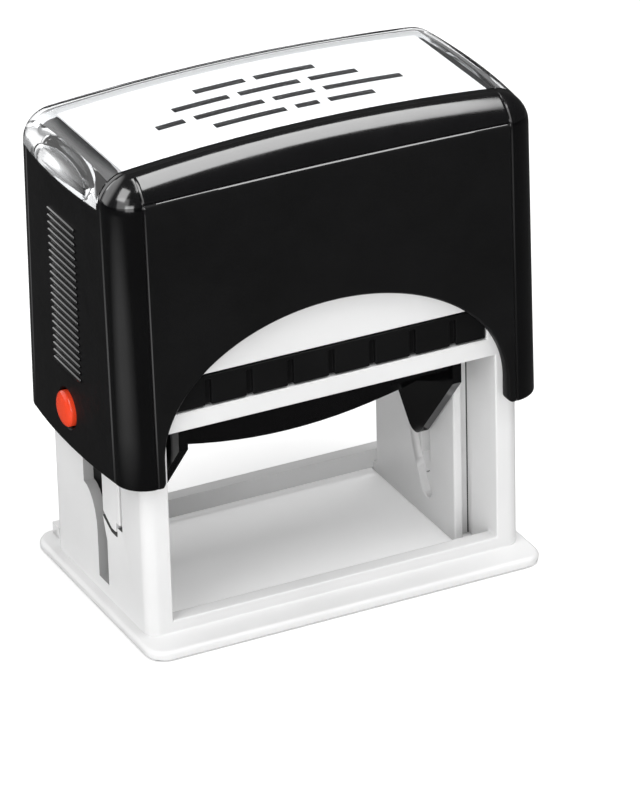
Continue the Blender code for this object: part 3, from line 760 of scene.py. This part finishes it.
def arch_outline(grow):
    """The arch, grown outwards. Its feet turn out, so that the legs beside them have round corners."""
    wide, tall = ARCH_HALF[0] + grow, ARCH_HALF[1] + grow
    foot = (ARCH_HALF[0] + LEG_CORNER, COVER_BOTTOM + LEG_CORNER)
    right = arc(foot, (LEG_CORNER - grow, LEG_CORNER), 180, 270, LEG_STEPS)
    right.append((foot[0], 0.0))
    left = [(-x, z) for x, z in reversed(right)]
    return arc((0.0, ARCH_CENTRE_Z), (wide, tall), 180, 0, ARCH_STEPS) + right + left


def arch_cutter():
    """The arch through the front and back walls, with a rounded lip on both outer faces."""
    rows = [(-1, out, grow) for out, grow in LIP_PROFILE]
    rows += [(1, out, grow) for out, grow in reversed(LIP_PROFILE)]
    bm = bmesh.new()
    loops = []
    for side, out, grow in rows:
        outline = arch_outline(ARCH_LIP * grow)
        loops.append([bm.verts.new((x, side * (cover_half(1, z) + out), z)) for x, z in outline])
    bridge(bm, loops)
    bm.faces.new(loops[0])
    bm.faces.new(loops[-1])
    return add_mesh("arch", bm)


def button_hole(side):
    """The hole for a button, with a lead-in at the wall's outer face."""
    wall = cover_end(BUTTON_Z)
    ring = BUTTON_RADIUS + FIT
    wide = ring + HOLE_LEAD_WIDE
    profile = [(0.0, wall + HOLE_OUT), (wide, wall + HOLE_OUT), (wide, wall)]
    profile += [(ring, wall - HOLE_LEAD_DEEP), (ring, wall - HOLE_IN), (0.0, wall - HOLE_IN)]
    return turned_x("button_hole", profile, side, BUTTON_Y, BUTTON_Z)


def make_cover():
    """The shell with its platform for the card, hollowed, and the grip ridges on both ends."""
    shell = cover_form("cover", 0.0, PANEL, GLOSS, POLISH, seams=True, edge=EDGE_ROUND)
    cut(shell, box("lid_space", (-BIG, LID_FRONT_Y, LID_EDGE_Z), (BIG, BIG, BIG)))
    platform = cover_form("card_platform", PLATFORM_INSET, INNER, bottom=PLATFORM_BOTTOM)
    near, far = (-PLATFORM_END_X, -BIG, 0.0), (PLATFORM_END_X, PLATFORM_BACK, BIG)
    boolean(platform, "INTERSECT", box("platform_room", near, far, INNER))
    boolean(shell, "UNION", platform)
    cut(
        shell,
        cavity("cavity", CAVITY_HALF, (0.0, CAVITY_STEP_Z)),
        cavity("cavity_top", ROOF_HALF, (COVER_MID_Z, CAVITY_ROOF_Z)),
        arch_cutter(),
        *[button_hole(side) for side in SIDES],
    )
    smooth(shell.data)
    finish_piece(shell, "cover", "black_plastic", "cover_shell")
    for side in SIDES:
        finish_piece(make_ridges(side), "cover", "black_plastic")


def make_ridges(side):
    """The grip ridges on one end of the cover: rounded bars that follow the wall."""
    bm = bmesh.new()
    pitch = (RIDGE_Z[1] - RIDGE_Z[0]) / (RIDGE_COUNT - 1)
    for k in range(RIDGE_COUNT):
        z = RIDGE_Z[0] + k * pitch
        x = side * cover_end(z)
        stops = [(RIDGE_Y[0] + RIDGE_RADIUS * along, size) for along, size in RIDGE_CAP]
        stops += [(RIDGE_Y[1] - RIDGE_RADIUS * along, size) for along, size in reversed(RIDGE_CAP)]
        loops = []
        for y, size in stops:
            last = 360 - 360 / RIDGE_SIDES
            ring = arc((0.0, 0.0), RIDGE_RADIUS * size, 0, last, RIDGE_SIDES - 1)
            loops.append([bm.verts.new((x + across, y, z + up)) for across, up in ring])
        bridge(bm, loops)
        bm.faces.new(loops[0])
        bm.faces.new(loops[-1])
    return add_mesh(f"grip_ridges_{HANDS[side]}", bm, POLISH)


def block_pocket(side):
    """The hollow under one end block of the lid, which keeps the moulding even."""
    bm = bmesh.new()
    centre = (side * POCKET_CENTRE[0], *POCKET_CENTRE[1:])
    place = Matrix.Translation(centre) @ Matrix.Diagonal((*POCKET_RADII, 1.0))
    bmesh.ops.create_uvsphere(bm, u_segments=32, v_segments=24, radius=1.0, matrix=place)
    return add_mesh("pocket", bm)


def make_index_window():
    """The clear lid: thin over the card, with a solid block at each end."""
    window = cover_form("clear_lid", 0.0, CLEAR)
    room = box("window_room", (-BIG, LID_FRONT_Y + FIT, LID_EDGE_Z + FIT), (BIG, BIG, BIG))
    boolean(window, "INTERSECT", room)
    hollow = cover_form("window_inside", LID_THICK)
    middle = box("hollow_room", (-LID_BLOCK_X, -BIG, 0.0), (LID_BLOCK_X, BIG, BIG))
    boolean(hollow, "INTERSECT", middle)
    cut(window, hollow, *[block_pocket(side) for side in SIDES])
    smooth(window.data)
    finish_piece(window, "window", "clear_plastic", "index_window")


def make_index_card():
    """The card keeps its node's solid, and carries plain bars in place of any wording."""
    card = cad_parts["index_card"]
    card.data.materials.clear()
    card.data.materials.append(CARD)
    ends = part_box("index_card")[1].z - top_rise(0.0)
    bm = bmesh.new()
    for y, runs in CARD_BARS:
        for start, end in runs:
            rows = []
            for step in range(BAR_STEPS + 1):
                x = start + (end - start) * step / BAR_STEPS
                z = ends + top_rise(x) + BAR_LIFT
                rows.append([bm.verts.new((x, y + across, z)) for across in (-BAR_HALF, BAR_HALF)])
            for first, second in zip(rows, rows[1:]):
                bm.faces.new((first[0], second[0], second[1], first[1]))
    print_bars = add_mesh("card_bars", bm, PRINT)
    thick = print_bars.modifiers.new("thickness", "SOLIDIFY")
    thick.thickness = BAR_THICK
    finish_piece(print_bars, "cover", "white_card")


def make_button(side):
    """A button with a domed face, and a flange that stays inside the wall."""
    outer = cover_end(BUTTON_Z) + BUTTON_PROUD
    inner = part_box("lock_button_right")[0].x
    profile = []
    for step in range(DOME_STEPS + 1):
        turn = math.pi / 2 * step / DOME_STEPS
        drop = DOME_HEIGHT * (1 - math.cos(turn)) ** DOME_POWER
        profile.append((BUTTON_RADIUS * math.sin(turn), outer - drop))
    flange = inner + FLANGE_THICK
    profile += [(BUTTON_RADIUS, flange), (FLANGE_RADIUS, flange), (FLANGE_RADIUS, inner), (0.0, inner)]
    button = turned_x(f"red_button_{HANDS[side]}", profile, side, BUTTON_Y, BUTTON_Z, RED)
    finish_piece(button, f"button_{HANDS[side]}", "red_plastic", f"lock_button_{HANDS[side]}")


# Frame, mechanism and springs


def painted_shade_slot_of(face):
    """Material of a frame's face: 1, a painted grey shade, on the end slots' walls, 2, a painted
    near-black shade, in the shaft behind, 0 elsewhere.
    """
    depth = abs(face.center.x)
    on_panel = abs(depth - PANEL_OUTER_X) < FIT and abs(face.normal.x) > FACING_X
    in_slot = PANEL_OUTER_X < depth < END_OUTER_X - FIT and abs(face.normal.x) < ALONG_X
    in_reach = abs(face.center.y) < SHAFT_HALF_Y and face.center.z > RAIL_TOP - FIT
    if not (in_reach and (on_panel or in_slot)):
        return 0
    by_tongue = face.center.y < TONGUE_SIDE_Y and face.center.z > TONGUE_FOOT_Z
    return 2 if depth < END_INNER_X or by_tongue else 1


def make_tongue(hand):
    """A catch tongue, slimmed about its root so that the gap round it shows."""
    node = f"lock_tongue_{hand}"
    tongue = rounded_copy(node, f"catch_tongue_{hand}", WHITE)
    low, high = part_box(node)
    root = Matrix.Translation((0.0, (low.y + high.y) / 2, high.z))
    slim_y = 1 - 2 * TONGUE_GAP / (high.y - low.y)
    slim_z = 1 - TONGUE_GAP / (high.z - low.z)
    tongue.data.transform(root @ Matrix.Diagonal((1.0, slim_y, slim_z, 1.0)) @ root.inverted())
    finish_piece(tongue, "frame", "white_plastic", node)


def make_frame():
    body = rounded_copy("base_frame", "white_frame", WHITE, SLOT_PAINTED_SHADE, SHAFT_PAINTED_SHADE)
    # Painted shade: faces in the end slots and the shaft behind them take the darker materials.
    for face in body.data.polygons:
        face.material_index = painted_shade_slot_of(face)
    finish_piece(body, "frame", "white_plastic", "base_frame")
    for side in SIDES:
        make_tongue(HANDS[side])
    cartridge = rounded_copy("ink_cartridge", "cartridge_tray", PANEL)
    finish_piece(cartridge, "frame", "black_plastic", "ink_cartridge")
    pad = rounded_copy("ink_pad", "felt_pad", FELT, segments=3)
    finish_piece(pad, "frame", "inked_felt", "ink_pad")


def make_mechanism():
    yoke = rounded_copy("yoke", "sliding_yoke", WHITE)
    finish_piece(yoke, "cover", "white_plastic", "yoke")
    platen = rounded_copy("platen", "platen_carrier", GLOSS)
    finish_piece(platen, "platen", "black_plastic", "platen")
    die = rounded_copy("rubber_die", "printing_rubber", RUBBER)
    finish_piece(die, "platen", "die_rubber", "rubber_die")
    cushion = rounded_copy("die_cushion", "foam_cushion", FOAM, segments=3)
    finish_piece(cushion, "platen", "grey_foam", "die_cushion")
    for side in SIDES:
        hand = HANDS[side]
        pin = rounded_copy(f"pivot_pin_{hand}", f"steel_pin_{hand}", STEEL, angle=40)
        finish_piece(pin, "platen", "spring_steel", f"pivot_pin_{hand}")


def make_spring(side):
    """A coil of one unbroken wire that fills its node's height."""
    hand = HANDS[side]
    node = f"return_spring_{hand}"
    low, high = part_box(node)
    wire = SPRING_WIRE / 2
    count = round(SPRING_TURNS * SPRING_STEPS)
    curve = bpy.data.curves.new(f"coil_{hand}", "CURVE")
    curve.dimensions = "3D"
    curve.bevel_depth = wire
    curve.bevel_resolution = 3
    curve.use_fill_caps = True
    spline = curve.splines.new("POLY")
    spline.points.add(count)
    for k, point in enumerate(spline.points):
        share = k / count
        turn = 2 * math.pi * SPRING_TURNS * share
        point.co = (
            side * SPRING_X + SPRING_RADIUS * math.cos(turn),
            SPRING_RADIUS * math.sin(turn),
            low.z + wire + (high.z - low.z - 2 * wire) * share,
            1.0,
        )
    guide = add_object(f"coil_guide_{hand}", curve)
    mesh = evaluated_mesh(guide)
    bpy.data.objects.remove(guide)
    mesh.materials.clear()
    mesh.materials.append(STEEL)
    coil = add_object(f"coil_spring_{hand}", mesh)
    smooth(coil.data)
    finish_piece(coil, "frame", "spring_steel", node)
    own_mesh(coil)


# Stage


def add_math(tree, operation, first, second):
    """A clamped Math node. Its second input is a socket or a number."""
    node = tree.nodes.new("ShaderNodeMath")
    node.operation = operation
    node.use_clamp = True
    tree.links.new(first, node.inputs[0])
    if isinstance(second, float):
        node.inputs[1].default_value = second
    else:
        tree.links.new(second, node.inputs[1])
    return node.outputs[0]


def add_ramp(tree, factor, *stops):
    """A colour ramp of greys through (position, value) stops."""
    ramp = tree.nodes.new("ShaderNodeValToRGB")
    elements = ramp.color_ramp.elements
    while len(elements) < len(stops):
        elements.new(0.5)
    for element, (position, value) in zip(elements, stops):
        element.position = position
        element.color = (value, value, value, 1.0)
    tree.links.new(factor, ramp.inputs["Fac"])
    return ramp.outputs["Color"]


def make_floor():
    """A pale floor that shows the shadow: dark in reflections but for a spot that glows there as a
    painted highlight, and glowing less inside the frame as painted shade.
    """
    bm = bmesh.new()
    level = Matrix.Translation((0.0, 0.0, FLOOR_Z))
    bmesh.ops.create_grid(bm, x_segments=1, y_segments=1, size=FLOOR_SIZE, matrix=level)
    material = new_material(
        "floor", Roughness=0.9, Specular_IOR_Level=0.0, Emission_Color=(1.0, 1.0, 1.0, 1.0)
    )
    tree = material.node_tree
    path = tree.nodes.new("ShaderNodeLightPath")
    seen = add_math(tree, "ADD", path.outputs["Is Camera Ray"], path.outputs["Is Transmission Ray"])
    place = tree.nodes.new("ShaderNodeTexCoord")
    parts = tree.nodes.new("ShaderNodeSeparateXYZ")
    tree.links.new(place.outputs["Object"], parts.inputs["Vector"])
    # Painted shade: inside the patch under the frame the floor is read lower on its ramp and glows
    # half as much.
    away = [
        add_math(tree, "GREATER_THAN", add_math(tree, "ABSOLUTE", parts.outputs[axis], 0.0), reach)
        for axis, reach in FLOOR_SHADE_PATCH.items()
    ]
    outside = add_math(tree, "MAXIMUM", *away)
    mirrored = add_math(tree, "MULTIPLY", path.outputs["Is Glossy Ray"], FLOOR_IN_MIRROR)
    step = add_math(tree, "MULTIPLY", outside, 1.0 - FLOOR_SHADE_PATCH_STOP)
    in_view = add_math(tree, "MULTIPLY", seen, add_math(tree, "ADD", step, FLOOR_SHADE_PATCH_STOP))
    which = add_math(tree, "ADD", in_view, mirrored)
    colour = add_ramp(tree, which, *FLOOR_STOPS)
    tree.links.new(colour, shader_of(material).inputs["Base Color"])
    length = tree.nodes.new("ShaderNodeVectorMath")
    length.operation = "LENGTH"
    tree.links.new(place.outputs["Object"], length.inputs[0])
    far = add_math(tree, "MULTIPLY", seen, add_ramp(tree, length.outputs["Value"], *FLOOR_FAR_STOPS))
    glow = add_math(tree, "MAXIMUM", add_math(tree, "MULTIPLY", in_view, FLOOR_GLOW), far)
    # Painted highlight: the floor glows in a spot that only reflections see.
    card = tree.nodes.new("ShaderNodeVectorMath")
    card.operation = "DISTANCE"
    card.inputs[1].default_value = FLOOR_GLINT_SPOT
    tree.links.new(place.outputs["Object"], card.inputs[0])
    glint_spot_fade = add_ramp(tree, card.outputs["Value"], *FLOOR_GLINT_SPOT_STOPS)
    painted_glint_glow = add_math(tree, "MULTIPLY", path.outputs["Is Glossy Ray"], glint_spot_fade)
    glow = add_math(tree, "MAXIMUM", glow, painted_glint_glow)
    tree.links.new(glow, shader_of(material).inputs["Emission Strength"])
    add_mesh("floor", bm, material)


def make_world():
    """A soft dome for light, white to the eye, and bright only at the left back in reflections."""
    world = bpy.data.worlds.new("studio")
    world.use_nodes = True
    tree = world.node_tree
    dome = tree.nodes["Background"]
    dome.inputs["Color"].default_value = (1.0, 1.0, 1.0, 1.0)
    dome.inputs["Strength"].default_value = DOME_STRENGTH
    backdrop = tree.nodes.new("ShaderNodeBackground")
    backdrop.inputs["Strength"].default_value = BACKDROP_STRENGTH
    place = tree.nodes.new("ShaderNodeTexCoord")
    towards = tree.nodes.new("ShaderNodeVectorMath")
    towards.operation = "DOT_PRODUCT"
    towards.inputs[1].default_value = BACKDROP_WAY
    tree.links.new(place.outputs["Generated"], towards.inputs[0])
    tree.links.new(add_ramp(tree, towards.outputs["Value"], *BACKDROP_STOPS), backdrop.inputs["Color"])
    path = tree.nodes.new("ShaderNodeLightPath")
    mixer = tree.nodes.new("ShaderNodeMixShader")
    tree.links.new(path.outputs["Is Glossy Ray"], mixer.inputs["Fac"])
    tree.links.new(dome.outputs["Background"], mixer.inputs[1])
    tree.links.new(backdrop.outputs["Background"], mixer.inputs[2])
    white = tree.nodes.new("ShaderNodeBackground")
    white.inputs["Color"].default_value = (1.0, 1.0, 1.0, 1.0)
    through = add_math(tree, "MULTIPLY", path.outputs["Is Transmission Ray"], BACKDROP_THROUGH_LID)
    seen = add_math(tree, "ADD", path.outputs["Is Camera Ray"], through)
    shown = tree.nodes.new("ShaderNodeMixShader")
    tree.links.new(seen, shown.inputs["Fac"])
    tree.links.new(mixer.outputs["Shader"], shown.inputs[1])
    tree.links.new(white.outputs["Background"], shown.inputs[2])
    tree.links.new(shown.outputs["Shader"], tree.nodes["World Output"].inputs["Surface"])
    bpy.context.scene.world = world


def make_lights():
    for name, place, target, size, watts in LAMPS:
        light = bpy.data.lights.new(name, "AREA")
        light.shape = "RECTANGLE"
        light.size, light.size_y = size
        light.energy = watts
        lamp = add_object(name, light)
        lamp.location = place
        lamp.rotation_mode = "QUATERNION"
        lamp.rotation_quaternion = (Vector(target) - Vector(place)).to_track_quat("-Z", "Y")
    make_world()


def make_camera():
    """The camera looks at its target along an azimuth and an elevation, with a slight roll."""
    forward = Vector((
        -math.sin(CAMERA_AZIMUTH) * math.cos(CAMERA_ELEVATION),
        math.cos(CAMERA_AZIMUTH) * math.cos(CAMERA_ELEVATION),
        -math.sin(CAMERA_ELEVATION),
    ))
    level = Vector((math.cos(CAMERA_AZIMUTH), math.sin(CAMERA_AZIMUTH), 0.0))
    upright = level.cross(forward)
    right = math.cos(CAMERA_ROLL) * level + math.sin(CAMERA_ROLL) * upright
    up = math.cos(CAMERA_ROLL) * upright - math.sin(CAMERA_ROLL) * level
    data = bpy.data.cameras.new("camera")
    data.lens = CAMERA_LENS_MM
    data.clip_end = CAMERA_FAR
    camera = add_object("camera", data)
    turn = Matrix((right, up, -forward)).transposed().to_4x4()
    camera.matrix_world = Matrix.Translation(CAMERA_TARGET - CAMERA_DISTANCE * forward) @ turn
    bpy.context.scene.camera = camera


def main():
    bpy.context.scene.view_settings.view_transform = "Standard"
    make_camera()
    make_cover()
    make_index_window()
    make_index_card()
    make_frame()
    make_mechanism()
    for side in SIDES:
        make_button(side)
        make_spring(side)
    make_floor()
    make_lights()


main()
